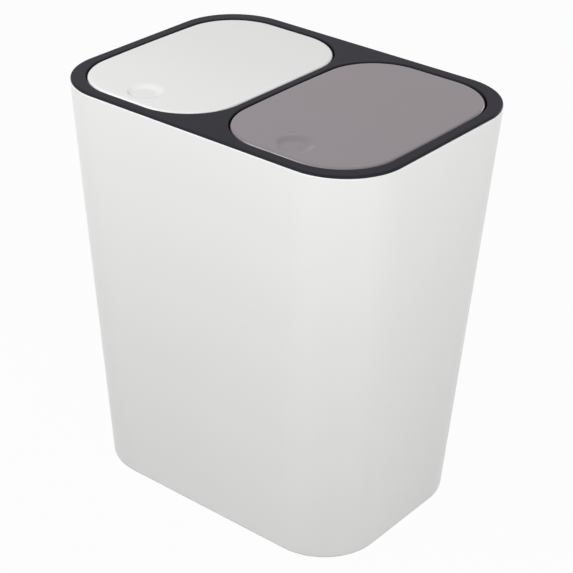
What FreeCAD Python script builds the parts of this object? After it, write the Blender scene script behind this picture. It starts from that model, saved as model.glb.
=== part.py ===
import FreeCAD, Part
import math
import os

from FreeCAD import Vector

# Double recycling bin. Millimetres, +Z up, front of the bin towards -Y, lids hinged at +Y.
# The origin is the middle of the floor footprint, on the surface that the feet stand on.

# Whole body: a tapered box with generous corners, measured at the floor and at the top.
height = 410.0
top_length = 358.0
top_depth = 261.0
top_corner = 63.0
base_length = 314.0
base_depth = 216.0
base_corner = 60.5

# Outer shell
shell_wall = 2.5
shell_floor = 2.5
foot_stand = 1.2
base_recess = 3.0
base_rim_width = 9.0
base_edge = 2.4
rim_edge = 0.8
base_rib = 1.8
base_rib_gap = 0.6
base_rib_pitch_x = 62.0
base_rib_pitch_y = 48.0
foot_size = 16.0
foot_boss_wall = 2.0
foot_pocket_depth = 1.6
foot_fit = 0.05
foot_inset_x = 44.0
foot_inset_y = 36.0
floor_rib_height = 12.0
floor_rib_length = 120.0
floor_rib_width = 2.0

# Lid frame: the ring round both lids
running_gap = 0.3
plate_thickness = 2.2
plate_outer_edge = 1.2
frame_wall = 1.8
skirt_clearance = 0.4
skirt_depth = 15.0
ledge_thickness = 2.0
ledge_width = 3.6
web_thickness = 1.6
web_places_x = (22.0, 44.0, 126.0)
web_places_y = (-50.0, 50.0)

# Lids, and the width of frame left round them
ring_side = 11.5
ring_middle = 7.6
ring_front = 11.75
lid_corner_step = 6.4
side_gap = 1.5
rear_gap = 2.0
lid_wall = 2.4
lid_side_wall = 3.0
lid_roll = 6.0
roll_bands = 2
lid_skirt = 7.5
lid_rib_height = 3.0
lid_rib_thickness = 1.5
lid_rib_x = 38.0
lid_rib_y = 44.0
press_angle = 0.6

# Thumb dimple in each lid
dimple_radius = 17.0
dimple_depth = 2.2
dimple_floor_radius = 10.5
dimple_inset = 26.6
dimple_wall = 2.6
dimple_pad_margin = 2.5

# Lid hinge, under the rear rail of the frame
hinge_front_room = 1.0
hinge_rear_room = 0.85
pin_radius = 1.25
pin_fit = 0.02
pin_running = 0.05
eye_wall = 1.25
eye_clearance = 0.45
arm_width = 6.0
arm_offset = 17.0
arm_side_gap = 0.6
ear_thickness = 2.4
neck_clearance = 0.6
neck_thickness = 3.2
neck_bend = 2.0
neck_rise = 3.2
spring_pitch = 0.75
spring_wire = 0.6
spring_coil_gap = 0.5
spring_turns = 3
coil_steps = 8
spring_leg = 15.0
spring_seat_width = 4.0

# Push latch under each dimple, hung in a pocket of the front rail
latch_behind_lid_front = 11.25
striker_neck = 3.0
striker_head = 6.0
striker_side_gap = 0.5
striker_base_length = 9.6
striker_base_depth = 12.0
striker_base_thickness = 1.2
striker_seat_margin = 1.0
striker_edge = 1.0
striker_length = 13.9
striker_head_height = 3.7
latch_travel = 4.0
jaw_open_angle = 20.0
jaw_pivot_spacing = 12.0
jaw_pivot_below_mouth = 12.4
jaw_thickness = 6.0
jaw_side_gap = 0.2
jaw_root = 0.8
jaw_back = 1.0
hook_thickness = 1.4
mouth_beyond_pivot = 4.4
jaw_eye = 2.2
jaw_pin_radius = 0.8
jaw_below_mouth = 0.5
ramp_clearance = 0.25
ramp_shares = (0.375, 0.5, 0.75, 1.0)
hook_neck_gap = 0.6
hook_head_gap = 0.4
housing_wall = 1.8
housing_side_wall = 1.8
housing_flange = 2.6
housing_flange_front = 1.7
housing_flange_thickness = 1.2
housing_depth_below = 23.7
housing_fit = 0.1
window_low = 5.0
window_height = 6.0
window_half_depth = 2.5
pocket_margin = 3.0
pocket_wall_drop = 17.0
cap_thickness = 1.6
cap_fit = 0.05
cheek_thickness = 1.2
slider_length_gap = 0.3
slider_base_height = 5.5
slider_floor_rise = 2.2
cheek_inset = 1.0
slider_web = 1.5
latch_spring_radius = 2.4
latch_spring_turns = 3
cam_track_width = 1.5
cam_track_depth = 1.0
cam_wire = 1.0
wire_clearance = 0.1
cam_swing = 2.4

# Inner buckets
bucket_wall = 1.8
bucket_floor = 2.2
bucket_rim_below_top = 38.0
bucket_side_gap = 1.6
bucket_middle_gap = 2.0
bucket_base_gap = 2.4
bucket_flange = 5.0
bucket_flange_thickness = 2.0
bucket_lip_depth = 8.0
bucket_lip_wall = 1.6
bucket_corner_base = 50.0
bucket_base_edge = 4.0

# Bucket carrying handles
bail_height = 4.0
bail_width = 5.0
bail_inset = 0.7
bail_eye_radius = 3.3
bail_eye_length = 3.4
bail_pin_radius = 1.6
bail_pin_running = 0.06
bail_pin_short = 0.2
bail_set_back = 11.0
ear_wall = 1.7
ear_gap = 0.3
ear_half_width = 4.5
grip_length = 76.0
grip_height = 7.0
grip_edge = 1.4

# Heights and places that follow from the sizes above
overcut = 1.0
sliver = 0.01
plate_bottom = height - plate_thickness
shell_rim = plate_bottom - running_gap
shell_floor_bottom = foot_stand + base_recess
shell_floor_top = shell_floor_bottom + shell_floor
coil_reach = pin_radius + spring_coil_gap + spring_wire
hinge_behind_lid = rear_gap + frame_wall + hinge_front_room + coil_reach
skirt_inset = shell_wall + skirt_clearance
ring_rear = hinge_behind_lid - rear_gap + coil_reach + hinge_rear_room + frame_wall + skirt_inset
lid_length = (top_length - ring_middle) / 2 - ring_side - 2 * side_gap
lid_depth = top_depth - ring_front - ring_rear - side_gap - rear_gap
lid_corner = top_corner - lid_corner_step
lid_centre_x = ring_middle / 2 + side_gap + lid_length / 2
lid_centre_y = -top_depth / 2 + ring_front + side_gap + lid_depth / 2
lid_front = lid_centre_y - lid_depth / 2
lid_rear = lid_centre_y + lid_depth / 2
lid_underside = height - lid_wall
lid_skirt_bottom = height - lid_skirt
hinge_y = lid_rear + hinge_behind_lid
eye_radius = pin_radius + eye_wall
hinge_z = plate_bottom - eye_radius - eye_clearance
press_drop = math.sin(math.radians(press_angle)) * (hinge_y - lid_front)
ledge_top = lid_skirt_bottom - press_drop - running_gap
ledge_bottom = ledge_top - ledge_thickness
skirt_bottom = plate_bottom - skirt_depth
opening_length = lid_length + 2 * side_gap
opening_front = lid_front - side_gap
opening_rear = lid_rear + rear_gap
opening_depth = opening_rear - opening_front
opening_corner = lid_corner + side_gap
opening_y = (opening_front + opening_rear) / 2
dimple_y = lid_front + dimple_inset
pad_underside = height - dimple_depth - dimple_wall
striker_depth = jaw_thickness - 2 * striker_side_gap
latch_y = lid_front + latch_behind_lid_front
mouth = ledge_top + housing_flange_thickness
housing_bottom = ledge_top - housing_depth_below
jaw_pivot_z = mouth - jaw_pivot_below_mouth
jaw_pivot_x = jaw_pivot_spacing / 2
mouth_half = jaw_pivot_x + mouth_beyond_pivot
slider_half_depth = jaw_thickness / 2 + jaw_side_gap + cheek_thickness
cavity_half_depth = slider_half_depth + running_gap
housing_half_length = mouth_half + housing_wall
housing_half_depth = cavity_half_depth + housing_side_wall
striker_tip_z = pad_underside - striker_length
slider_floor_z = striker_tip_z - latch_travel - running_gap
bucket_bottom = shell_floor_top + running_gap
bucket_rim = height - bucket_rim_below_top
bail_bottom = bucket_rim + running_gap
bail_pivot_z = bail_bottom + bail_eye_radius


# Shapes used by several pieces

def rounded_outline(length, depth, radius, z, x=0.0, y=0.0):
    """A level rounded rectangle about (x, y) at height z."""
    half_x = length / 2
    half_y = depth / 2
    straight_x = half_x - radius
    straight_y = half_y - radius
    diagonal = radius / math.sqrt(2)
    edges = []
    for sx, sy in ((1, 1), (-1, 1), (-1, -1), (1, -1)):
        side_end = Vector(x + sx * half_x, y + sy * straight_y, z)
        bend = Vector(x + sx * (straight_x + diagonal), y + sy * (straight_y + diagonal), z)
        end_end = Vector(x + sx * straight_x, y + sy * half_y, z)
        ends = (side_end, end_end) if sx * sy > 0 else (end_end, side_end)
        edges.append(Part.Arc(ends[0], bend, ends[1]))
    wire = []
    for index, arc in enumerate(edges):
        following = edges[(index + 1) % 4]
        wire.append(arc.toShape())
        wire.append(Part.LineSegment(arc.EndPoint, following.StartPoint).toShape())
    return Part.Wire(wire)


def body_outline(z, inset=0.0):
    """The body's outer outline at height z, drawn in by inset."""
    share = z / height
    length = base_length + (top_length - base_length) * share
    depth = base_depth + (top_depth - base_depth) * share
    corner = base_corner + (top_corner - base_corner) * share
    return rounded_outline(length - 2 * inset, depth - 2 * inset, corner - inset, z)


def slab(outline, thickness):
    return Part.Face(outline).extrude(Vector(0, 0, thickness))


def band_side(lower, upper):
    """The face between one edge of an outline and the same edge of the outline above it."""
    if isinstance(lower.Curve, Part.Line):
        across = [vertex.Point for vertex in lower.Vertexes]
        back = [vertex.Point for vertex in reversed(upper.Vertexes)]
        return Part.Face(Part.makePolygon(across + back + across[:1]))
    return Part.makeRuledSurface(lower, upper)


def banded(outline_at, stations):
    """A solid with straight bands between level outlines; stations are (z, inset) pairs."""
    outlines = [outline_at(z, inset) for z, inset in stations]
    faces = [Part.Face(outlines[0]), Part.Face(outlines[-1])]
    for lower, upper in zip(outlines, outlines[1:]):
        faces += [band_side(*pair) for pair in zip(lower.Edges, upper.Edges)]
    skin = Part.Shell(faces)
    skin.sewShape()
    return Part.Solid(skin)


def about(middle, width):
    """The range of a width centred on middle."""
    return middle - width / 2, middle + width / 2


def block(x_range, y_range, z_range):
    size = [high - low for low, high in (x_range, y_range, z_range)]
    return Part.makeBox(*size, Vector(x_range[0], y_range[0], z_range[0]))


def rod_along_x(radius, x_range, y, z):
    return Part.makeCylinder(radius, x_range[1] - x_range[0], Vector(x_range[0], y, z), Vector(1, 0, 0))


def rod_along_y(radius, y_range, x, z):
    return Part.makeCylinder(radius, y_range[1] - y_range[0], Vector(x, y_range[0], z), Vector(0, 1, 0))


def plate_in_yz(points, x_range):
    """A plate cut to an outline of (y, z) points, spanning x_range."""
    corners = [Vector(x_range[0], y, z) for y, z in points]
    outline = Part.makePolygon(corners + corners[:1])
    return Part.Face(outline).extrude(Vector(x_range[1] - x_range[0], 0, 0))


def plate_in_xz(points, y_range):
    """A plate cut to an outline of (x, z) points, spanning y_range."""
    corners = [Vector(x, y_range[0], z) for x, z in points]
    outline = Part.makePolygon(corners + corners[:1])
    return Part.Face(outline).extrude(Vector(0, y_range[1] - y_range[0], 0))


def edges_at(shape, z):
    """The edges that lie level at height z."""
    return [
        edge
        for edge in shape.Edges
        if abs(edge.BoundBox.ZMin - z) < sliver and abs(edge.BoundBox.ZMax - z) < sliver
    ]


def eased(shape, width, z):
    """The shape with its edges at height z cut back at 45 degrees."""
    return shape.makeChamfer(width, edges_at(shape, z))


def rolled_top(outline_at, bottom, top, radius):
    """A slab whose top edge rolls over in level bands that follow a quarter circle."""
    stations = [(bottom, 0.0)]
    for step in range(roll_bands + 1):
        turn = math.radians(90 * step / roll_bands)
        stations.append((top - radius * (1 - math.sin(turn)), radius * (1 - math.cos(turn))))
    return banded(outline_at, stations)


def eye_corners(radius, first, last):
    """Corners 45 degrees apart round the end of a boss, between two headings in degrees."""
    step = 45 if last > first else -45
    turns = [math.radians(heading) for heading in range(first, last + step, step)]
    return [(radius * math.cos(turn), radius * math.sin(turn)) for turn in turns]


def joined(shapes):
    return shapes[0].multiFuse(shapes[1:]).removeSplitter()


def without(shape, tools):
    for tool in tools:
        shape = shape.cut(tool)
    return shape


def coil(radius, pitch, turns):
    """A coil of square wire up +Z from the origin, starting on +X, in straight facets."""
    half = spring_wire / 2
    sections = []
    for step in range(round(turns * coil_steps) + 1):
        turn = math.radians(360 * step / coil_steps)
        rise = pitch * step / coil_steps
        section = []
        for out, up in ((-half, -half), (half, -half), (half, half), (-half, half)):
            reach = radius + out
            section.append(Vector(reach * math.cos(turn), reach * math.sin(turn), rise + up))
        sections.append(section)
    facets = [sections[0], sections[-1]]
    for section, following in zip(sections, sections[1:]):
        for corner in range(4):
            beside = (corner + 1) % 4
            facets.append([section[corner], section[beside], following[beside]])
            facets.append([section[corner], following[beside], following[corner]])
    skin = Part.Shell([Part.Face(Part.makePolygon(facet + facet[:1])) for facet in facets])
    skin.sewShape()
    return Part.Solid(skin)


def both_sides(shape):
    """The left and the right copy of a piece drawn about the middle of its own lid."""
    left = shape.copy()
    left.translate(Vector(-lid_centre_x, 0, 0))
    right = shape.copy()
    right.translate(Vector(lid_centre_x, 0, 0))
    return left, right


def keep(shape, node):
    shape.exportStep("parts/" + node + ".step")


# Outer shell

def foot_places():
    x = base_length / 2 - foot_inset_x
    y = base_depth / 2 - foot_inset_y
    return [(sx * x, sy * y) for sx in (-1, 1) for sy in (-1, 1)]


def foot_block(place, margin, z_range):
    width = foot_size + 2 * margin
    return block(about(place[0], width), about(place[1], width), z_range)


def make_outer_shell():
    outside = banded(body_outline, [
        (foot_stand, base_edge), (foot_stand + base_edge, 0.0),
        (shell_rim - rim_edge, 0.0), (shell_rim, rim_edge)])
    cavity = banded(body_outline, [(shell_floor_top, shell_wall), (height, shell_wall)])
    recess = slab(body_outline(foot_stand, base_rim_width), base_recess)
    bosses = []
    pockets = []
    for place in foot_places():
        bosses.append(foot_block(place, foot_fit + foot_boss_wall, (foot_stand, shell_floor_bottom)))
        pockets.append(foot_block(place, foot_fit, (foot_stand - overcut, foot_stand + foot_pocket_depth)))
    rib_heights = (foot_stand + base_rib_gap, shell_floor_bottom)
    ribs = []
    for step in (-2, -1, 0, 1, 2):
        ribs.append(block(about(step * base_rib_pitch_x, base_rib), (-top_depth, top_depth), rib_heights))
    for step in (-1, 0, 1):
        ribs.append(block((-top_length, top_length), about(step * base_rib_pitch_y, base_rib), rib_heights))
    underside = joined(bosses + [rib.common(recess) for rib in ribs])
    shell = without(outside, [cavity, recess])
    rails = []
    for side in (-1, 1):
        inner = side * (bucket_base_inner_x() - bucket_base_gap)
        low, high = sorted((inner, inner - side * floor_rib_width))
        rails.append(block((low, high), about(0, floor_rib_length),
                           (shell_floor_top - overcut, shell_floor_top + floor_rib_height)))
    return without(joined([shell, underside] + rails), pockets)


def make_rubber_feet():
    heights = (0.0, foot_stand + foot_pocket_depth)
    return Part.makeCompound([foot_block(place, 0.0, heights) for place in foot_places()])


# Lid frame

def opening_outline(z, margin=0.0, side=0):
    return rounded_outline(opening_length + 2 * margin, opening_depth + 2 * margin,
                           opening_corner + margin, z, side * lid_centre_x, opening_y)


def hinge_spans(side):
    """The stretches of rail that the two gooseneck arms of one lid pass through."""
    width = arm_width + 2 * arm_side_gap
    return [about(side * lid_centre_x + hand * arm_offset, width) for hand in (-1, 1)]


def make_latch_pocket(side):
    """The shelf, back wall and two gussets that carry one push latch."""
    x = side * lid_centre_x
    half = housing_half_length + pocket_margin
    inner_edge = latch_y + housing_half_depth + pocket_margin
    back = (opening_front - frame_wall, opening_front)
    shelf = block((x - half, x + half), (back[0], inner_edge), (ledge_bottom, ledge_top))
    wall = block((x - half, x + half), back, (ledge_bottom - pocket_wall_drop, ledge_top))
    gusset_points = [
        (opening_front - overcut, ledge_bottom),
        (inner_edge, ledge_bottom),
        (opening_front - overcut, ledge_bottom - pocket_wall_drop),
    ]
    gussets = []
    for outer in (x - half, x + half - web_thickness):
        gussets.append(plate_in_yz(gusset_points, (outer, outer + web_thickness)))
    return [shelf, wall] + gussets


def make_lid_frame():
    plate = slab(rounded_outline(top_length, top_depth, top_corner, plate_bottom), plate_thickness)
    plate = eased(plate, plate_outer_edge, height)
    for side in (-1, 1):
        plate = plate.cut(slab(opening_outline(plate_bottom - overcut, 0.0, side), height))

    skirt_top = plate_bottom + plate_thickness / 2
    skirt_inner = skirt_inset + frame_wall
    skirt_outside = banded(body_outline, [(skirt_bottom, skirt_inset), (skirt_top, skirt_inset)])
    skirt_inside = banded(body_outline, [
        (skirt_bottom - overcut, skirt_inner), (skirt_top + overcut, skirt_inner)])
    mid_skirt = skirt_inset + frame_wall / 2
    channel = banded(body_outline, [(ledge_top, mid_skirt), (skirt_top, mid_skirt)])
    walls = []
    wall_cores = []
    ledges = []
    straight_x = opening_length / 2 - opening_corner
    straight_y = opening_depth / 2 - opening_corner
    for side in (-1, 1):
        walls.append(slab(opening_outline(ledge_bottom, frame_wall, side), skirt_top - ledge_bottom))
        channel = channel.cut(slab(opening_outline(ledge_top - overcut, frame_wall / 2, side), height))
        wall_cores.append(slab(opening_outline(ledge_bottom - overcut, 0.0, side), height))
        x = side * lid_centre_x
        for way in (-1, 1):
            outer_x = x + way * (opening_length / 2 + frame_wall / 2)
            inner_x = x + way * (opening_length / 2 - ledge_width)
            ledges.append(block(sorted((outer_x, inner_x)), (opening_y - straight_y, opening_y + straight_y),
                                (ledge_bottom, ledge_top)))
            outer_y = opening_y + way * (opening_depth / 2 + frame_wall / 2)
            inner_y = opening_y + way * (opening_depth / 2 - ledge_width)
            ledges.append(block((x - straight_x, x + straight_x), sorted((outer_y, inner_y)),
                                (ledge_bottom, ledge_top)))

    web_heights = (ledge_top, skirt_top)
    webs = []
    ears = []
    for side in (-1, 1):
        for place in web_places_x:
            webs.append(block(about(side * place, web_thickness), (-top_depth, top_depth), web_heights))
        for low in (hinge_spans(side)[0][0] - ear_thickness, hinge_spans(side)[1][1]):
            ears.append(block((low, low + ear_thickness), (lid_centre_y, top_depth),
                              (hinge_z - eye_radius - ear_thickness, skirt_top)))
    for middle in web_places_y:
        webs.append(block((-top_length, top_length), about(middle, web_thickness), web_heights))
    webs = [web.common(channel) for web in webs]
    ears = [ear.common(channel) for ear in ears]
    pockets = make_latch_pocket(-1) + make_latch_pocket(1)

    frame = joined([skirt_outside.cut(skirt_inside)] + walls)
    frame = without(frame, wall_cores)
    frame = joined([frame, plate] + ledges + webs + ears + pockets)

    cuts = []
    for side in (-1, 1):
        x = side * lid_centre_x
        behind_wall = opening_rear + frame_wall + sliver
        for span in hinge_spans(side):
            cuts.append(block(span, (opening_rear - ledge_width - overcut, behind_wall),
                              (ledge_bottom - overcut, plate_bottom)))
        half = arm_offset + arm_width / 2 + ear_thickness + pin_radius
        cuts.append(rod_along_x(pin_radius + pin_fit, (x - half, x + half), hinge_y, hinge_z))
        cuts.append(block(about(x + spring_leg_x(), 2 * spring_wire), (opening_rear - overcut, behind_wall),
                          (spring_leg_z() - spring_wire, plate_bottom)))
        cuts.append(block(about(x, 2 * (housing_half_length + housing_fit)),
                          about(latch_y, 2 * (housing_half_depth + housing_fit)),
                          (ledge_bottom - overcut, ledge_top + overcut)))
    return without(frame, cuts)


# Lids, hinge pins and hinge springs

def arm_outline():
    """The gooseneck's (y, z) outline: from its eye, under the rear rail, up to the lid and back."""
    rail_edge = opening_rear - hinge_y
    sweep = math.hypot(rail_edge, height - hinge_z)
    throat = -(abs(rail_edge) + neck_clearance)
    front = -(sweep + neck_clearance)
    root = lid_underside + lid_wall / 3 - hinge_z
    inner = [
        (-eye_radius, 0.0),
        (-eye_radius, throat),
        (front + neck_bend, throat),
        (front, throat + neck_rise),
        (front, root),
    ]
    outer = [
        (front - 2 * neck_thickness, root),
        (front - neck_thickness, throat),
        (front + neck_bend / 2, throat - neck_thickness),
        (-eye_radius, throat - neck_thickness),
        (eye_radius / 2, throat - neck_clearance),
    ] + eye_corners(eye_radius, 0, 135)
    return [(hinge_y + y, hinge_z + z) for y, z in inner + outer]


def make_lid():
    """One lid about x = 0: a shallow shell with a rolled edge, a dimple and two hinge arms."""
    def lid_outline(z, inset):
        return rounded_outline(lid_length - 2 * inset, lid_depth - 2 * inset, lid_corner - inset,
                               z, 0, lid_centre_y)

    outside = rolled_top(lid_outline, lid_skirt_bottom, height, lid_roll)
    hollow = slab(lid_outline(lid_skirt_bottom - overcut, lid_side_wall), lid_skirt - lid_wall + overcut)
    shell = outside.cut(hollow)
    rear_relief = block(about(0, lid_length / 2), (lid_rear - 2 * lid_roll, lid_rear + overcut),
                        (lid_skirt_bottom - overcut, height - lid_roll / 2))
    shell = shell.cut(rear_relief)

    pad_heights = (pad_underside, lid_underside + lid_wall / 2)
    pad_width = 2 * (dimple_radius + dimple_pad_margin)
    pad = block(about(0, pad_width), about(dimple_y, pad_width), pad_heights)
    seat_front = latch_y - striker_base_depth / 2 - striker_seat_margin
    seat = block(about(0, striker_base_length + 2 * striker_seat_margin), (seat_front, dimple_y), pad_heights)
    ribs = []
    rib_heights = (lid_underside - lid_rib_height, lid_underside + lid_wall / 2)
    for x in (-lid_rib_x, lid_rib_x):
        ribs.append(block(about(x, lid_rib_thickness),
                          (dimple_y + dimple_radius, lid_rear - 3 * lid_roll), rib_heights))
    for y in (-lid_rib_y, lid_rib_y):
        ribs.append(block(about(0, lid_length - 4 * lid_roll), about(y, lid_rib_thickness), rib_heights))
    spring_seat = block(about(spring_leg_x(), spring_seat_width),
                        (hinge_y - spring_leg, hinge_y - spring_leg + spring_seat_width),
                        (spring_leg_z() + spring_wire / 2, lid_underside + lid_wall / 2))
    arms = []
    for hand in (-1, 1):
        arms.append(plate_in_yz(arm_outline(), about(hand * arm_offset, arm_width)))
    lid = joined([shell, pad, seat, spring_seat] + ribs + arms)
    bore = rod_along_x(pin_radius + pin_running, (-2 * arm_offset, 2 * arm_offset), hinge_y, hinge_z)
    return without(lid, [make_dimple(), bore])


def make_dimple():
    """The shallow dish cut from a lid's top, with a flat floor and a sloping side."""
    rise = overcut * (dimple_radius - dimple_floor_radius) / dimple_depth
    return Part.makeCone(dimple_floor_radius, dimple_radius + rise, dimple_depth + overcut,
                         Vector(0, dimple_y, height - dimple_depth))


def make_hinge_pin():
    half = arm_offset + arm_width / 2 + arm_side_gap + ear_thickness
    return rod_along_x(pin_radius, (-half, half), hinge_y, hinge_z)


def spring_leg_x():
    return -spring_turns * spring_pitch / 2


def spring_leg_z():
    return hinge_z - coil_reach + spring_wire / 2


def make_hinge_spring():
    """A torsion spring about the hinge pin, one leg on the frame and one under the lid."""
    radius = coil_reach - spring_wire / 2
    turns = coil(radius, spring_pitch, spring_turns - 0.25)
    turns.rotate(Vector(0, 0, 0), Vector(0, 1, 0), 90)
    turns.translate(Vector(spring_leg_x(), hinge_y, hinge_z))
    lid_leg = block(about(spring_leg_x(), spring_wire), (hinge_y - spring_leg, hinge_y),
                    about(spring_leg_z(), spring_wire))
    last = -spring_leg_x() - spring_pitch / 4
    frame_leg = block(about(last, spring_wire), about(hinge_y + radius, spring_wire),
                      (hinge_z - 3 * radius, hinge_z))
    return joined([turns, lid_leg, frame_leg])


# Push latch

def jaw_outline():
    """One jaw about its pivot: an arm, a hook over the striker and a ramp on the mouth's edge.

    As the jaw rises it turns outwards at a steady rate, and its ramp follows the mouth's edge."""
    edge_out = mouth_half - jaw_pivot_x
    ramp = []
    for share in ramp_shares:
        turn = math.radians(jaw_open_angle * share)
        edge_up = jaw_pivot_below_mouth - latch_travel * share
        ramp.append((edge_out * math.cos(turn) - edge_up * math.sin(turn) - ramp_clearance,
                     edge_out * math.sin(turn) + edge_up * math.cos(turn) + ramp_clearance))
    hook_in = striker_neck / 2 + hook_neck_gap - jaw_pivot_x
    hook_low = striker_tip_z + striker_head_height + running_gap - jaw_pivot_z
    inner = striker_head / 2 + hook_head_gap - jaw_pivot_x
    top = jaw_pivot_below_mouth - jaw_below_mouth
    return [
        (inner, jaw_root),
        (inner, hook_low),
        (hook_in, hook_low),
        (hook_in, hook_low + hook_thickness),
        (-jaw_back, top),
        (ramp[0][0], top),
    ] + ramp + eye_corners(jaw_eye, 0, -180)


def make_jaw(hand):
    """A jaw in place; hand is +1 for the one on the +X side of the striker."""
    points = [(hand * (jaw_pivot_x + out), jaw_pivot_z + up) for out, up in jaw_outline()]
    span = about(latch_y, jaw_thickness)
    bore = rod_along_y(jaw_pin_radius + pin_running, span, hand * jaw_pivot_x, jaw_pivot_z)
    return plate_in_xz(points, span).cut(bore)


def cam_track():
    """The closed track that the cam wire's tip follows: straight up one side, back down the other."""
    top = jaw_pivot_z - cam_wire
    low = top - latch_travel
    points = [(-cam_swing, top), (-cam_swing, low), (0, low - cam_track_width),
              (cam_swing, low + cam_track_width / 2), (cam_swing / 2, top - cam_track_width / 2)]
    face = (latch_y - slider_half_depth - overcut, latch_y - slider_half_depth + cam_track_depth)
    half = cam_track_width / 2
    runs = []
    for start, end in zip(points, points[1:] + points[:1]):
        length = math.hypot(end[0] - start[0], end[1] - start[1])
        along = ((end[0] - start[0]) / length * half, (end[1] - start[1]) / length * half)
        across = (-along[1], along[0])
        corners = []
        for place, way, hand in ((start, -1, 1), (end, 1, 1), (end, 1, -1), (start, -1, -1)):
            corners.append([place[axis] + way * along[axis] + hand * across[axis] for axis in (0, 1)])
        runs.append(plate_in_xz(corners, face))
    return joined(runs)


def slider_bottom():
    return slider_floor_z - slider_base_height - slider_floor_rise


def make_latch_slider():
    half = mouth_half - slider_length_gap
    y_range = about(latch_y, 2 * slider_half_depth)
    bottom = slider_bottom()
    base = block((-half, half), y_range, (bottom, bottom + slider_base_height))
    floor_half = jaw_pivot_x - jaw_eye - running_gap
    floor = block((-floor_half, floor_half), y_range, (bottom, slider_floor_z))
    cheeks = []
    for side in (-1, 1):
        middle = latch_y + side * (slider_half_depth - cheek_thickness / 2)
        cheeks.append(block(about(0, 2 * (half - cheek_inset)), about(middle, cheek_thickness),
                            (bottom, jaw_pivot_z + jaw_eye)))
    slider = joined([base, floor] + cheeks)
    well = 2 * (latch_spring_radius + spring_wire)
    cuts = [block(about(0, well), about(latch_y, well),
                  (bottom - overcut, bottom + slider_base_height - slider_web)), cam_track()]
    seat = jaw_pin_radius + pin_fit
    for hand in (-1, 1):
        cuts.append(block(about(hand * jaw_pivot_x, 2 * seat), y_range, (jaw_pivot_z - seat, mouth)))
    return without(slider, cuts)


def make_jaw_pins():
    span = about(latch_y, 2 * slider_half_depth)
    pins = [rod_along_y(jaw_pin_radius, span, hand * jaw_pivot_x, jaw_pivot_z) for hand in (-1, 1)]
    return Part.makeCompound(pins)


def make_latch_housing():
    outer = block(about(0, 2 * housing_half_length), about(latch_y, 2 * housing_half_depth),
                  (housing_bottom, mouth))
    flange = block(about(0, 2 * (housing_half_length + housing_flange)),
                   about(latch_y, 2 * (housing_half_depth + housing_flange_front)), (ledge_top, mouth))
    inside = block(about(0, 2 * mouth_half), about(latch_y, 2 * cavity_half_depth),
                   (housing_bottom - overcut, mouth + overcut))
    wire_slot = block((-cam_swing - cam_wire, cam_wire),
                      (latch_y - cavity_half_depth - cam_wire - 2 * wire_clearance, latch_y),
                      (housing_bottom + cap_thickness, jaw_pivot_z + cam_wire))
    windows = []
    window_heights = (housing_bottom + window_low, housing_bottom + window_low + window_height)
    for hand in (-1, 1):
        low, high = sorted((hand * (mouth_half - overcut), hand * (housing_half_length + overcut)))
        windows.append(block((low, high), about(latch_y, 2 * window_half_depth), window_heights))
    return without(joined([outer, flange]), [inside, wire_slot] + windows)


def make_latch_cap():
    return block(about(0, 2 * (mouth_half - cap_fit)), about(latch_y, 2 * (cavity_half_depth - cap_fit)),
                 (housing_bottom, housing_bottom + cap_thickness))


def make_latch_spring():
    low = housing_bottom + cap_thickness + spring_wire / 2 + cap_fit
    high = slider_bottom() + slider_base_height - slider_web - spring_wire / 2 - cap_fit
    turns = coil(latch_spring_radius, (high - low) / latch_spring_turns, latch_spring_turns)
    turns.translate(Vector(0, latch_y, low))
    return turns


def make_cam_wire():
    """The sprung wire whose upper tip rides in the cam track; its lower tip is held in the housing."""
    half = cam_wire / 2
    stem_y = latch_y - cavity_half_depth - half - wire_clearance
    top = jaw_pivot_z - cam_wire
    bottom = housing_bottom + cap_thickness + cam_wire
    across = about(-cam_swing, cam_wire)
    stem = block(across, about(stem_y, cam_wire), (bottom - half, top + half))
    tip_end = latch_y - slider_half_depth + cam_track_depth - 2 * wire_clearance
    tip = block(across, (stem_y, tip_end), about(top, cam_wire))
    tail = block(across, (stem_y, latch_y - cavity_half_depth), about(bottom, cam_wire))
    return joined([stem, tip, tail])


def make_striker():
    """The arrow-headed catch under the lid, which the jaws close round."""
    base = block(about(0, striker_base_length), about(latch_y, striker_base_depth),
                 (pad_underside - striker_base_thickness, pad_underside))
    neck = striker_neck / 2
    head = striker_head / 2
    barb = striker_tip_z + striker_head_height
    root = pad_underside - striker_base_thickness / 2
    points = [
        (-neck, root), (-neck, barb), (-head, barb), (-head, barb - striker_edge),
        (-striker_edge, striker_tip_z), (striker_edge, striker_tip_z),
        (head, barb - striker_edge), (head, barb), (neck, barb), (neck, root),
    ]
    blade = plate_in_xz(points, about(latch_y, striker_depth))
    return joined([base, blade])


# Inner buckets and their carrying handles

def bucket_rim_size():
    """Centre x, length, depth and corner of a bucket's rim, from the shell round it."""
    share = bucket_rim / height
    half_length = (base_length + (top_length - base_length) * share) / 2 - shell_wall - bucket_side_gap
    half_depth = (base_depth + (top_depth - base_depth) * share) / 2 - shell_wall - bucket_side_gap
    corner = base_corner + (top_corner - base_corner) * share - shell_wall - bucket_side_gap
    inner = bucket_middle_gap / 2
    return (half_length + inner) / 2, half_length - inner, 2 * half_depth, corner


def bucket_base_size():
    """Length and depth of a bucket's base, which stands clear of the shell's foot."""
    centre = bucket_rim_size()[0]
    share = bucket_bottom / height
    half_length = (base_length + (top_length - base_length) * share) / 2 - shell_wall - bucket_base_gap
    half_depth = (base_depth + (top_depth - base_depth) * share) / 2 - shell_wall - bucket_base_gap
    return 2 * (half_length - centre), 2 * half_depth


def bucket_base_inner_x():
    return bucket_rim_size()[0] - bucket_base_size()[0] / 2


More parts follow.
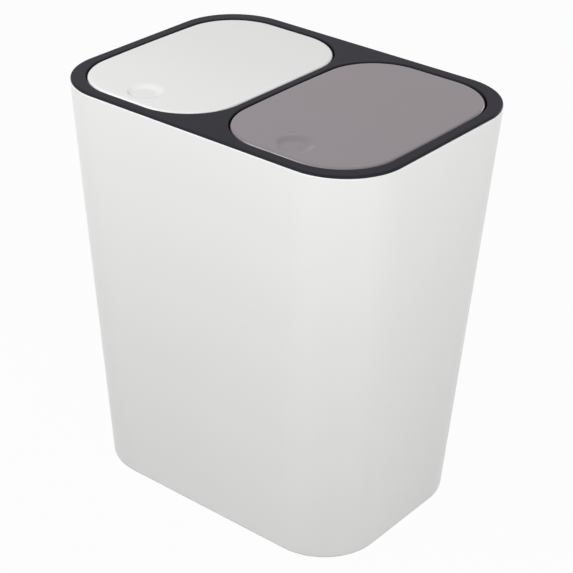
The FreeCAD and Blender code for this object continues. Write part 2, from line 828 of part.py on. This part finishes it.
def make_bucket():
    """One bucket about x = 0."""
    _, rim_length, rim_depth, rim_corner = bucket_rim_size()
    base_x, base_y = bucket_base_size()
    flange_bottom = bucket_rim - bucket_flange_thickness

    def side_outline(z, inset):
        share = (z - bucket_bottom) / (bucket_rim - bucket_bottom)
        length = base_x + (rim_length - 2 * bucket_flange - base_x) * share
        depth = base_y + (rim_depth - 2 * bucket_flange - base_y) * share
        corner = bucket_corner_base + (rim_corner - bucket_flange - bucket_corner_base) * share
        return rounded_outline(length - 2 * inset, depth - 2 * inset, corner - inset, z)

    floor_top = bucket_bottom + bucket_floor
    body = banded(side_outline, [
        (bucket_bottom, bucket_base_edge), (bucket_bottom + bucket_base_edge, 0.0), (bucket_rim, 0.0)])
    hollow = banded(side_outline, [
        (floor_top, bucket_wall + bucket_base_edge), (floor_top + bucket_base_edge, bucket_wall),
        (bucket_rim + overcut, bucket_wall)])

    flange = slab(rounded_outline(rim_length, rim_depth, rim_corner, flange_bottom), bucket_flange_thickness)
    lip = slab(rounded_outline(rim_length, rim_depth, rim_corner, bucket_rim - bucket_lip_depth),
               bucket_lip_depth - bucket_flange_thickness / 2)
    inside_lip = slab(rounded_outline(rim_length - 2 * bucket_lip_wall, rim_depth - 2 * bucket_lip_wall,
                                      rim_corner - bucket_lip_wall, bucket_rim - bucket_lip_depth - overcut),
                      bucket_lip_depth + overcut - bucket_flange_thickness / 2)
    ears = []
    for side in (-1, 1):
        outer = side * rim_length / 2
        low, high = sorted((outer, outer - side * ear_wall))
        crown = [(y, bail_pivot_z + z) for y, z in eye_corners(ear_half_width, 0, 180)]
        feet = [(-ear_half_width, flange_bottom), (ear_half_width, flange_bottom)]
        ears.append(plate_in_yz(crown + feet, (low, high)))
    bucket = joined([body, flange, lip.cut(inside_lip)] + ears)
    bore = rod_along_x(bail_pin_radius + bail_pin_running, (-rim_length, rim_length), 0, bail_pivot_z)
    return without(bucket, [hollow, bore])


def make_bail():
    """One carrying handle about x = 0, folded back flat on the bucket's rim."""
    _, rim_length, rim_depth, rim_corner = bucket_rim_size()

    def rim_outline(inset):
        return rounded_outline(rim_length - 2 * inset, rim_depth - 2 * inset, rim_corner - inset, bail_bottom)

    band = slab(rim_outline(bail_inset), bail_height)
    band = band.cut(slab(rim_outline(bail_inset + bail_width), bail_height))
    front_half = block((-rim_length, rim_length), (-rim_depth, 0), (0, height))
    inset = ear_wall + ear_gap
    beside_ears = []
    for side in (-1, 1):
        low, high = sorted((side * (rim_length / 2 - inset), side * rim_length))
        beside_ears.append(block((low, high), (-rim_depth, bail_set_back), (0, height)))
    band = without(band, [front_half] + beside_ears)
    pieces = [band]
    for side in (-1, 1):
        outer = side * (rim_length / 2 - inset)
        low, high = sorted((outer, outer - side * bail_eye_length))
        boss = [(y, bail_pivot_z + z) for y, z in eye_corners(bail_eye_radius, 0, 315)]
        pieces.append(plate_in_yz(boss, (low, high)))
        low, high = sorted((outer - side * bail_eye_length / 2, outer + side * (inset - bail_pin_short)))
        pieces.append(rod_along_x(bail_pin_radius, (low, high), 0, bail_pivot_z))
    grip_y = rim_depth / 2 - bail_inset - bail_width / 2
    grip = block(about(0, grip_length), about(grip_y, bail_width), (bail_bottom, bail_bottom + grip_height))
    grip = eased(grip, grip_edge, bail_bottom + grip_height)
    return joined(pieces + [grip])


def bucket_sides(shape):
    centre = bucket_rim_size()[0]
    left = shape.copy()
    left.translate(Vector(-centre, 0, 0))
    right = shape.copy()
    right.translate(Vector(centre, 0, 0))
    return left, right


# Assembly

os.makedirs("parts", exist_ok=True)

keep(make_outer_shell(), "outer_shell")
keep(make_rubber_feet(), "rubber_feet")
keep(make_lid_frame(), "lid_frame")

pieces_of_each_lid = {
    "lid": make_lid(),
    "hinge_pin": make_hinge_pin(),
    "hinge_spring": make_hinge_spring(),
    "lid_striker": make_striker(),
    "latch_housing": make_latch_housing(),
    "latch_cap": make_latch_cap(),
    "latch_slider": make_latch_slider(),
    "latch_right_jaw": make_jaw(1),
    "latch_left_jaw": make_jaw(-1),
    "latch_jaw_pins": make_jaw_pins(),
    "latch_spring": make_latch_spring(),
    "latch_cam_wire": make_cam_wire(),
}
for name, shape in pieces_of_each_lid.items():
    left, right = both_sides(shape)
    keep(left, "left_" + name)
    keep(right, "right_" + name)

for name, shape in {"bucket": make_bucket(), "bucket_handle": make_bail()}.items():
    left, right = bucket_sides(shape)
    keep(left, "left_" + name)
    keep(right, "right_" + name)
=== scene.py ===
import math

import bmesh
import bpy
from mathutils import Matrix, Vector


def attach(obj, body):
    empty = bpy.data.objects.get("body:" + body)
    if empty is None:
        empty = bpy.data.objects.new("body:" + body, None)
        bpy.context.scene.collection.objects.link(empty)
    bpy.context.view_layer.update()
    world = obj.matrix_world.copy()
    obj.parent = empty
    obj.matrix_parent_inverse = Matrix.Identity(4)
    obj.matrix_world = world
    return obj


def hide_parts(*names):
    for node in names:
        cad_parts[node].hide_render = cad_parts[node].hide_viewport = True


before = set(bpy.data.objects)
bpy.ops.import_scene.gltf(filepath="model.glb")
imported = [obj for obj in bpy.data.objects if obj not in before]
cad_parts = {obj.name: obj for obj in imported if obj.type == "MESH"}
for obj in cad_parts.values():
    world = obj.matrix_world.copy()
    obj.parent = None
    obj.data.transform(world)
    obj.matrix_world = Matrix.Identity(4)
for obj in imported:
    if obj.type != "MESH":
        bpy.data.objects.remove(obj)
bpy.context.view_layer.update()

# Sizes that several pieces share, in millimetres. An outline is (length, depth, corner radius).
HEIGHT = 410.0
TOP = (358.0, 261.0, 63.0)
BASE = (314.0, 216.0, 60.5)
PLATE_BOTTOM = 407.8
LID_X = 85.65
CORNER_STEPS = 22
SINK = 0.5
WHITE = (1, 1, 1, 1)


# Shaping

def arc_stations(start, end, steps, level_first):
    """Points (height, inset) on a quarter circle that sets off either level or upright."""
    points = []
    for step in range(steps + 1):
        turn = math.radians(90 * step / steps)
        rise, run = math.sin(turn), 1 - math.cos(turn)
        if level_first:
            rise, run = 1 - math.cos(turn), math.sin(turn)
        points.append((start[0] + (end[0] - start[0]) * rise, start[1] + (end[1] - start[1]) * run))
    return points


def outline(bm, size, z, x=0.0, y=0.0, inset=0.0, bow=0.0):
    """A level rounded rectangle of edges; bow is how far its long sides bulge."""
    length, depth, corner = size
    side_steps = 14
    known = set(bm.edges)
    corners = bmesh.ops.create_grid(bm, x_segments=1, y_segments=1, size=0.5)["verts"]
    bmesh.ops.scale(bm, vec=(length - 2 * inset, depth - 2 * inset, 1), verts=corners)
    bmesh.ops.translate(bm, vec=(x, y, z), verts=corners)
    rounded = bmesh.ops.bevel(bm, geom=corners, offset=corner - inset, offset_type="OFFSET",
                              segments=CORNER_STEPS, profile=0.5, affect="VERTICES", material=-1)
    plate = rounded["verts"][0].link_faces[0]
    edges = list(plate.edges)
    bmesh.ops.delete(bm, geom=[plate], context="FACES_ONLY")
    if not bow:
        return edges
    long_sides = [edge for edge in edges if abs(edge.verts[0].co.y - edge.verts[1].co.y) > depth / 4]
    bmesh.ops.subdivide_edges(bm, edges=long_sides, cuts=side_steps)
    edges = [edge for edge in bm.edges if edge not in known]
    for vert in dict.fromkeys(vert for edge in edges for vert in edge.verts):
        along = (vert.co.y - y) / (depth / 2 - corner)
        if abs(along) < 1:
            vert.co.x += math.copysign(bow * (1 - along ** 2), vert.co.x - x)
    return edges


def edges_of(verts):
    """The edges at some vertices, each one once and in a fixed order."""
    return list(dict.fromkeys(edge for vert in verts for edge in vert.link_edges))


def ring(bm, radius, z, x, y):
    """A level circle of edges."""
    circle = bmesh.ops.create_circle(bm, segments=64, radius=radius, cap_ends=False)["verts"]
    bmesh.ops.translate(bm, vec=(x, y, z), verts=circle)
    return edges_of(circle)


def skin(bm, loops):
    """Bridges each loop of edges to the next one."""
    for lower, upper in zip(loops, loops[1:]):
        bmesh.ops.bridge_loops(bm, edges=lower + upper)


def cap(bm, *loops):
    """Fills a loop, or the flat area between an outer loop and the holes in it."""
    edges = [edge for loop in loops for edge in loop]
    if len(loops) == 1:
        bmesh.ops.contextual_create(bm, geom=edges)
    else:
        bmesh.ops.triangle_fill(bm, use_beauty=True, use_dissolve=False, edges=edges, normal=(0, 0, 1))


def round_edges(bm, verts, radius):
    bmesh.ops.bevel(bm, geom=edges_of(verts), offset=radius, offset_type="OFFSET", segments=2, profile=0.5,
                    affect="EDGES", material=-1)


def bar(bm, x_range, y_range, z_range, radius=0.3):
    """A straight bar with softened edges."""
    made = bmesh.ops.create_cube(bm, size=1.0)["verts"]
    size = [high - low for low, high in (x_range, y_range, z_range)]
    middle = [(high + low) / 2 for low, high in (x_range, y_range, z_range)]
    bmesh.ops.scale(bm, vec=size, verts=made)
    bmesh.ops.translate(bm, vec=middle, verts=made)
    round_edges(bm, made, radius)


def profile_bar(bm, points, x_range, radius):
    """A bar along X whose section is a line of (y, z) points."""
    corners = [bm.verts.new((x_range[0], y, z)) for y, z in points]
    face = bm.faces.new(corners)
    pushed = bmesh.ops.extrude_face_region(bm, geom=[face])["geom"]
    far = [item for item in pushed if isinstance(item, bmesh.types.BMVert)]
    bmesh.ops.translate(bm, vec=(x_range[1] - x_range[0], 0, 0), verts=far)
    round_edges(bm, corners + far, radius)


def about(middle, half_width):
    return (middle - half_width, middle + half_width)


def piece(name, bm, body, material, replaced, recalculate=True):
    """Turns a mesh in millimetres into an object that rides on a body and stands for some CAD nodes."""
    bmesh.ops.scale(bm, vec=(0.001, 0.001, 0.001), verts=bm.verts)
    if recalculate:
        bmesh.ops.recalc_face_normals(bm, faces=bm.faces)
    mesh = bpy.data.meshes.new(name)
    bm.to_mesh(mesh)
    bm.free()
    mesh.shade_smooth()
    mesh.set_sharp_from_angle(angle=math.radians(32))
    mesh.materials.append(material)
    made = bpy.data.objects.new(name, mesh)
    bpy.context.scene.collection.objects.link(made)
    weighted = made.modifiers.new("even shading", "WEIGHTED_NORMAL")
    weighted.keep_sharp = True
    weighted.weight = 80
    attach(made, body)
    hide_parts(*replaced)
    return made


def merged_copy(node):
    """A node's mesh in millimetres, with its loose triangles merged into whole faces."""
    bm = bmesh.new()
    bm.from_mesh(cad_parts[node].data)
    bmesh.ops.remove_doubles(bm, verts=bm.verts, dist=1e-6)
    bmesh.ops.scale(bm, vec=(1000, 1000, 1000), verts=bm.verts)
    bmesh.ops.dissolve_limit(bm, angle_limit=math.radians(0.6), verts=bm.verts, edges=bm.edges)
    return bm


# Finishes

class Value:
    """A shader socket that takes part in sums."""

    def __init__(self, wiring, socket):
        self.wiring = wiring
        self.socket = socket

    def _sum(self, operation, first, second):
        return self.wiring.node("ShaderNodeMath", {"operation": operation}, {0: first, 1: second})

    def __add__(self, other):
        return self._sum("ADD", self, other)

    def __radd__(self, other):
        return self._sum("ADD", other, self)

    def __mul__(self, other):
        return self._sum("MULTIPLY", self, other)

    def __rmul__(self, other):
        return self._sum("MULTIPLY", other, self)


class Wiring:
    """A node tree, and the one way in which nodes come into it."""

    def __init__(self, tree):
        self.tree = tree

    def node(self, kind, settings, inputs, output=0):
        made = self.tree.nodes.new(kind)
        for setting, value in settings.items():
            setattr(made, setting, value)
        for socket, value in inputs.items():
            self.feed(made.inputs[socket], value)
        return Value(self, made.outputs[output])

    def feed(self, socket, value):
        if isinstance(value, Value):
            self.tree.links.new(value.socket, socket)
        else:
            socket.default_value = value

    def show(self, end_node, seen, plain, white):
        """Ends the tree in white, by the share seen, over its plain surface."""
        blend = self.node("ShaderNodeMixShader", {}, {0: seen, 1: plain, 2: white})
        self.feed(self.tree.nodes[end_node].inputs["Surface"], blend)

    def seen_rays(self):
        """1 on rays from the camera and in mirror and glass views, 0 on rays that light the object."""
        path = self.tree.nodes.new("ShaderNodeLightPath")
        total = Value(self, path.outputs["Is Camera Ray"])
        for kind in ("Is Glossy Ray", "Is Transmission Ray"):
            other = Value(self, path.outputs[kind])
            total = self.node("ShaderNodeMath", {"operation": "MAXIMUM"}, {0: total, 1: other})
        return total


class Finish(Wiring):
    """One material and the nodes that feed its surface."""

    def __init__(self, name):
        self.material = bpy.data.materials.new(name)
        self.material.use_nodes = True
        super().__init__(self.material.node_tree)
        self.surface = self.tree.nodes["Principled BSDF"]
        self.place = self.node("ShaderNodeTexCoord", {}, {}, "Object")

    def coat_with(self, **inputs):
        for socket, value in inputs.items():
            self.feed(self.surface.inputs[socket.replace("_", " ")], value)

    def noise(self, scale, detail=2.0, roughness=0.5):
        inputs = {"Vector": self.place, "Scale": scale, "Detail": detail, "Roughness": roughness}
        return self.node("ShaderNodeTexNoise", {}, inputs, "Fac")

    def mix(self, share, first, second):
        return self.node("ShaderNodeMix", {"data_type": "RGBA", "blend_type": "MIX"},
                         {0: share, 6: first, 7: second}, 2)

    def spread(self, value, low, high, to_low=0.0, to_high=1.0):
        """Stretches a value from one range to another, and holds it there."""
        inputs = {"Value": value, "From Min": low, "From Max": high, "To Min": to_low, "To Max": to_high}
        return self.node("ShaderNodeMapRange", {"clamp": True}, inputs)

    def bump(self, height, strength, distance):
        inputs = {"Strength": strength, "Distance": distance, "Height": height}
        return self.node("ShaderNodeBump", {}, inputs, "Normal")


def linear(red, green, blue):
    """A screen colour in 0 to 255, as the shader wants it."""
    def one(level):
        level = level / 255
        return level / 12.92 if level <= 0.04045 else ((level + 0.055) / 1.055) ** 2.4
    return (one(red), one(green), one(blue), 1.0)


def shade(colour, by):
    return tuple(level * by for level in colour[:3]) + (1.0,)


def moulded(name, colour, roughness, drift=0.02, texture=0.04, specular=0.5, foot_painted_shade=0.0):
    """Moulded plastic: a faint drift of tone, uneven gloss, the fine texture of the mould and, where asked,
    painted shade darkening it towards the foot.
    """
    finish = Finish(name)
    tone = finish.noise(7.0)
    marbled = finish.noise(38.0, 4.0, 0.6)
    share = finish.spread(tone * 0.7 + marbled * 0.3, 0.35, 0.65)
    unshaded_tone = finish.mix(share, shade(colour, 1 - drift), shade(colour, 1 + drift))
    # Painted shade: near the bottom the base colour is mixed towards a dark grey, standing in for the light
    # that falls off lower down the body.
    height = finish.node("ShaderNodeSeparateXYZ", {}, {"Vector": finish.place}, "Z")
    low = finish.spread(height, 0.0, HEIGHT / 1000, foot_painted_shade, 0.0)
    gloss = finish.noise(60.0, 3.0, 0.6)
    grain = finish.noise(2200.0, 1.0)
    finish.coat_with(
        Base_Color=finish.mix(low, unshaded_tone, linear(90, 90, 88)),
        Roughness=finish.spread(gloss, 0.3, 0.7, roughness - 0.03, roughness + 0.03),
        Normal=finish.bump(grain, texture, 0.0002),
        Specular_IOR_Level=specular)
    return finish.material


def drawn_steel(name):
    """Bright steel wire and pins, with fine lines from drawing."""
    finish = Finish(name)
    lines = finish.noise(900.0, 3.0, 0.7)
    stains = finish.noise(120.0)
    finish.coat_with(
        Base_Color=finish.mix(stains, linear(158, 160, 164), linear(186, 188, 192)),
        Roughness=finish.spread(lines, 0.3, 0.7, 0.22, 0.38),
        Normal=finish.bump(lines, 0.15, 0.0001),
        Metallic=1.0)
    return finish.material


def soft_rubber(name):
    """Dark rubber, dulled by dust."""
    finish = Finish(name)
    dust = finish.noise(300.0, 3.0, 0.65)
    finish.coat_with(
        Base_Color=finish.mix(dust, linear(36, 36, 37), linear(58, 57, 56)),
        Roughness=finish.spread(dust, 0.3, 0.7, 0.62, 0.8),
        Normal=finish.bump(finish.noise(1800.0), 0.2, 0.0002))
    return finish.material


# The white body carries painted shade that darkens it towards its foot.
white_body = moulded("white body plastic", linear(232, 232, 231), 0.36, 0.006, 0.03, foot_painted_shade=0.06)
white_lid = moulded("white lid plastic", linear(224, 224, 223), 0.22, 0.006, 0.02, specular=0.42)
grey_lid = moulded("warm grey lid plastic", linear(124, 115, 120), 0.22, 0.015, 0.02, specular=0.42)
charcoal = moulded("charcoal frame plastic", linear(40, 39, 46), 0.3, 0.05, 0.05, specular=0.025)
dark_case = moulded("charcoal latch case", linear(44, 44, 48), 0.42, 0.05, 0.08)
natural = moulded("natural slider plastic", linear(214, 212, 203), 0.4, 0.02, 0.04)
bucket_grey = moulded("mid grey bucket plastic", linear(158, 159, 162), 0.46, 0.02, 0.08)
handle_plastic = moulded("charcoal handle plastic", linear(62, 62, 66), 0.45, 0.04, 0.08)
steel = drawn_steel("drawn steel")
rubber = soft_rubber("foot rubber")


# Body

def body_size(z):
    """The body's outer outline at a height, on the straight taper from base to top."""
    share = z / HEIGHT
    return tuple(low + (high - low) * share for low, high in zip(BASE, TOP))


def add_base_ribs(bm, top):
    """The crossing ribs and the four foot pockets under the floor."""
    rib_bottom = 1.9
    half_rib = 0.9
    lengthwise_reach = 147.0
    crosswise_reach = 98.0
    pocket_bottom = 1.3
    half_pocket = 10.0
    for step in (-2, -1, 0, 1, 2):
        bar(bm, about(step * 62.0, half_rib), about(0, crosswise_reach), (rib_bottom, top))
    for step in (-1, 0, 1):
        bar(bm, about(0, lengthwise_reach), about(step * 48.0, half_rib), (rib_bottom, top))
    for x in (-113.0, 113.0):
        for y in (-72.0, 72.0):
            bar(bm, about(x, half_pocket), about(y, half_pocket), (pocket_bottom, top), 0.5)


def make_body():
    bottom = 1.2
    foot_radius = 3.2
    rim = 407.5
    wall = 2.5
    floor_top = 6.7
    floor_radius = 3.0
    recess_top = 4.2
    recess_inset = 9.0
    guide_place = 24.0
    guide_thickness = 2.0
    guide_height = 12.0

    bm = bmesh.new()
    stations = [(recess_top, recess_inset), (bottom + 0.4, recess_inset), (bottom, recess_inset - 0.4)]
    stations += arc_stations((bottom, foot_radius), (bottom + foot_radius, 0.0), 7, True)
    stations += [(z, 0.0) for z in (80.0, 200.0, 320.0)]
    stations += arc_stations((rim - 0.8, 0.0), (rim, 0.8), 4, False)
    stations += arc_stations((rim, wall - 0.6), (rim - 0.6, wall), 3, True)
    stations.append((200.0, wall))
    stations += arc_stations((floor_top + floor_radius, wall), (floor_top, wall + floor_radius), 5, False)
    loops = [outline(bm, body_size(z), z, inset=inset) for z, inset in stations]
    skin(bm, loops)
    cap(bm, loops[0])
    cap(bm, loops[-1])
    add_base_ribs(bm, recess_top + SINK)
    for side in (-1, 1):
        near = side * guide_place
        far = near - side * guide_thickness
        bar(bm, sorted((near, far)), about(0, 60.0), (floor_top - 1.0, floor_top + guide_height), 0.6)
    return piece("body_shell", bm, "shell", white_body, ("outer_shell",))


# Frame

def make_frame_plate():
    """The visible ring round both lids with soft edges, over the CAD frame's own underside."""
    opening = (163.7, 236.2, 58.1)
    opening_y = -0.65
    edge_inset = 0.7
    edge_radius = 1.4

    bm = bmesh.new()
    outer_stations = [(PLATE_BOTTOM, edge_inset)]
    outer_stations += arc_stations((HEIGHT - edge_radius, edge_inset), (HEIGHT, edge_inset + edge_radius),
                                   6, False)
    outer_stations.append((HEIGHT, edge_inset + 1.5 * edge_radius))
    outer = [outline(bm, TOP, z, inset=inset) for z, inset in outer_stations]
    skin(bm, outer)
    inner_stations = [(HEIGHT, -1.5)] + arc_stations((HEIGHT, -1.0), (HEIGHT - 1.0, 0.0), 5, True)
    inner_stations.append((PLATE_BOTTOM, 0.0))
    tops = []
    bottoms = []
    for x in (-LID_X, LID_X):
        loops = [outline(bm, opening, z, x, opening_y, inset) for z, inset in inner_stations]
        skin(bm, loops)
        tops.append(loops[0])
        bottoms.append(loops[-1])
    cap(bm, outer[-1], *tops)
    cap(bm, outer[0], *bottoms)
    bmesh.ops.recalc_face_normals(bm, faces=bm.faces)

    below = merged_copy("lid_frame")
    bmesh.ops.bisect_plane(below, geom=below.verts[:] + below.edges[:] + below.faces[:],
                           plane_co=(0, 0, PLATE_BOTTOM - 0.002), plane_no=(0, 0, 1), clear_outer=True)
    underside = bpy.data.meshes.new("frame underside")
    below.to_mesh(underside)
    below.free()
    bm.from_mesh(underside)
    bpy.data.meshes.remove(underside)
    return piece("lid_ring", bm, "frame", charcoal, ("lid_frame",), recalculate=False)


# Lids

def arm_section():
    """The gooseneck's (y, z) section, from its eye under the rear rail up to the lid."""
    hinge_y = 122.6
    hinge_z = 404.85
    eye = 2.5
    throat = -5.75
    front = -7.87
    root = 3.55
    thickness = 3.2
    eye_top = [(eye * math.cos(turn), eye * math.sin(turn))
               for turn in (0, math.pi / 4, math.pi / 2, 3 * math.pi / 4)]
    points = [(-eye, 0.0), (-eye, throat), (front + 2.0, throat), (front, throat + thickness), (front, root),
              (front - 2 * thickness, root), (front - thickness, throat), (front + 1.0, throat - thickness),
              (-eye, throat - thickness), (eye / 2, throat - 0.6)] + eye_top
    return [(hinge_y + y, hinge_z + z) for y, z in points]


def add_dimple(bm, x, y):
    """The thumb dimple's loops, deeper towards the front; returns its rim."""
    rim = 18.5
    floor = 10.0
    depth = 2.2
    lean = 4.5
    steps = 12
    rings = [ring(bm, rim + 1.5, HEIGHT, x, y)]
    for step in range(steps + 1):
        share = step / steps
        fall = share ** 3 * (10 - 15 * share + 6 * share ** 2)
        rings.append(ring(bm, rim - (rim - floor) * share, HEIGHT - depth * fall, x, y - lean * share))
    rings.append(ring(bm, 1.0, HEIGHT - depth, x, y - lean))
    skin(bm, rings)
    cap(bm, rings[-1])
    return rings[0]


def add_lid_ribs(bm, x, dimple_y):
    """What stands under a lid: dimple boss, striker pad, ribs, spring seat and hinge arms."""
    under = 407.9
    boss_bottom = 405.2
    rib_bottom = 404.6
    half_rib = 0.75
    bar(bm, about(x, 19.5), about(dimple_y, 19.5), (boss_bottom, 407.4), 0.5)
    bar(bm, about(x, 5.8), (-113.0, -90.0), (boss_bottom, under), 0.4)
    for side in (-1, 1):
        bar(bm, about(x + side * 38.0, half_rib), (-73.0, 97.0), (rib_bottom, under))
    for side in (-1, 1):
        bar(bm, about(x, 68.0), about(side * 44.0, half_rib), (rib_bottom, under))
    bar(bm, (x - 3.2, x + 0.9), (107.7, 111.6), (403.45, under))
    for side in (-1, 1):
        profile_bar(bm, arm_section(), about(x + side * 17.0, 3.0), 0.4)


def make_lid(side, material):
    size = (160.7, 232.7, 56.6)
    y = -0.9
    dimple_y = -90.65
    bow = 0.9
    edge_radius = 2.6
    plate_bottom = 407.6
    skirt_bottom = 402.5
    skirt_wall = 3.0
    lip = 0.4
    x = LID_X if side == "right" else -LID_X

    bm = bmesh.new()
    stations = arc_stations((plate_bottom, 2 * skirt_wall), (plate_bottom - skirt_wall, skirt_wall), 4, True)
    stations += [(skirt_bottom + lip, skirt_wall), (skirt_bottom, skirt_wall - lip)]
    stations += [(skirt_bottom, 0.5), (skirt_bottom + lip, 0.0)]
    stations += arc_stations((HEIGHT - edge_radius, 0.0), (HEIGHT, edge_radius), 7, False)
    stations.append((HEIGHT, edge_radius + 1.4))
    loops = [outline(bm, size, z, x, y, inset, bow) for z, inset in stations]
    skin(bm, loops)
    cap(bm, loops[0])
    rim = add_dimple(bm, x, dimple_y)
    cap(bm, loops[-1], rim)
    bmesh.ops.recalc_face_normals(bm, faces=bm.faces)
    add_lid_ribs(bm, x, dimple_y)
    return piece(side + "_lid_cover", bm, side + "_lid_body", material, (side + "_lid",))


# Pieces that keep the CAD model's shape

def soften(node_name, body, material, width):
    """A CAD node's own shape again, with its sharp edges rounded as a mould leaves them."""
    made = piece(node_name + "_moulding", merged_copy(node_name), body, material, (node_name,),
                 recalculate=False)
    rounded = made.modifiers.new("mould radius", "BEVEL")
    rounded.width = width / 1000
    rounded.segments = 2
    rounded.limit_method = "ANGLE"
    rounded.angle_limit = math.radians(40)
    rounded.use_clamp_overlap = True
    made.modifiers.move(1, 0)


def finish_nodes():
    """Gives every CAD node that still shows its finish."""
    finish_of = {
        "rubber_feet": rubber, "hinge_pin": steel, "hinge_spring": steel, "latch_spring": steel,
        "latch_cam_wire": steel, "latch_jaw_pins": steel, "latch_cap": dark_case,
        "latch_slider": natural, "latch_left_jaw": natural, "latch_right_jaw": natural,
    }
    for node_name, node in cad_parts.items():
        plain = node_name.removeprefix("left_").removeprefix("right_")
        if plain in finish_of:
            node.data.materials.clear()
            node.data.materials.append(finish_of[plain])


make_body()
make_frame_plate()
make_lid("left", white_lid)
make_lid("right", grey_lid)
for side in ("left", "right"):
    soften(side + "_bucket", side + "_bucket_body", bucket_grey, 0.5)
    soften(side + "_bucket_handle", side + "_handle_body", handle_plastic, 0.6)
    soften(side + "_latch_housing", "frame", dark_case, 0.25)
    soften(side + "_lid_striker", side + "_lid_body", natural, 0.2)
finish_nodes()


# Camera, floor and light

def aim_camera():
    """The photograph's viewpoint, fitted to the outlines of body, ring and lids in units of the height."""
    scale = HEIGHT / 1000
    distance, aside, below = 3.9864, 0.0154, 0.0025
    focal_length = 1703.236
    picture_width = 573
    azimuth, elevation, roll = (math.radians(turn) for turn in (38.3439, 28.9336, 1.471))
    back = Vector((math.sin(azimuth) * math.cos(elevation), -math.cos(azimuth) * math.cos(elevation),
                   math.sin(elevation)))
    level = Vector((math.cos(azimuth), math.sin(azimuth), 0))
    upright = back.cross(level)
    right = level * math.cos(roll) + upright * math.sin(roll)
    up = upright * math.cos(roll) - level * math.sin(roll)
    place = scale * (Vector((0, 0, 0.5)) + back * distance + right * aside - up * below)
    data = bpy.data.cameras.new("camera")
    data.sensor_width = 36.0
    data.lens = focal_length * data.sensor_width / picture_width
    camera = bpy.data.objects.new("camera", data)
    camera.matrix_world = Matrix.Translation(place) @ Matrix((right, up, back)).transposed().to_4x4()
    bpy.context.scene.collection.objects.link(camera)
    bpy.context.scene.camera = camera


def make_floor():
    bm = bmesh.new()
    bmesh.ops.create_grid(bm, x_segments=1, y_segments=1, size=6.0)
    mesh = bpy.data.meshes.new("floor")
    bm.to_mesh(mesh)
    bm.free()
    finish = Finish("floor")
    finish.coat_with(Base_Color=(0.3, 0.3, 0.3, 1), Roughness=0.9, Specular_IOR_Level=0.0)
    white = finish.node("ShaderNodeEmission", {}, {"Color": WHITE})
    finish.show("Material Output", finish.seen_rays() * 0.97, Value(finish, finish.surface.outputs[0]), white)
    mesh.materials.append(finish.material)
    floor = bpy.data.objects.new("floor", mesh)
    bpy.context.scene.collection.objects.link(floor)


def light_world(level):
    world = bpy.data.worlds.new("studio")
    bpy.context.scene.world = world
    world.use_nodes = True
    sky = Wiring(world.node_tree)
    soft = sky.tree.nodes["Background"]
    soft.inputs["Color"].default_value = WHITE
    soft.inputs["Strength"].default_value = level
    white = sky.node("ShaderNodeBackground", {}, {"Color": WHITE, "Strength": 1.0})
    sky.show("World Output", sky.seen_rays(), Value(sky, soft.outputs[0]), white)


def lamp(name, place, aim_height, size, power):
    """A rectangular soft lamp in metres and watts, turned to a height on the object's middle line."""
    data = bpy.data.lights.new(name, "AREA")
    data.shape = "RECTANGLE"
    data.size, data.size_y = size
    data.energy = power
    made = bpy.data.objects.new(name, data)
    made.location = place
    made.rotation_euler = (Vector((0, 0, aim_height)) - Vector(place)).to_track_quat("-Z", "Y").to_euler()
    bpy.context.scene.collection.objects.link(made)


aim_camera()
make_floor()
light_world(0.4)
lamp("left front", (-0.9, -1.0, 1.2), 0.35, (0.8, 0.8), 15.0)
lamp("near front", (0.3, -1.0, 1.15), 0.35, (1.2, 0.6), 3.2)
lamp("near right", (1.2, -0.6, 0.8), 0.3, (0.8, 0.6), 10.4)
lamp("rear fill", (0.6, 2.2, 0.6), 0.2, (1.6, 1.0), 15.0)

bpy.context.scene.view_settings.view_transform = "Standard"

bpy.context.view_layer.update()
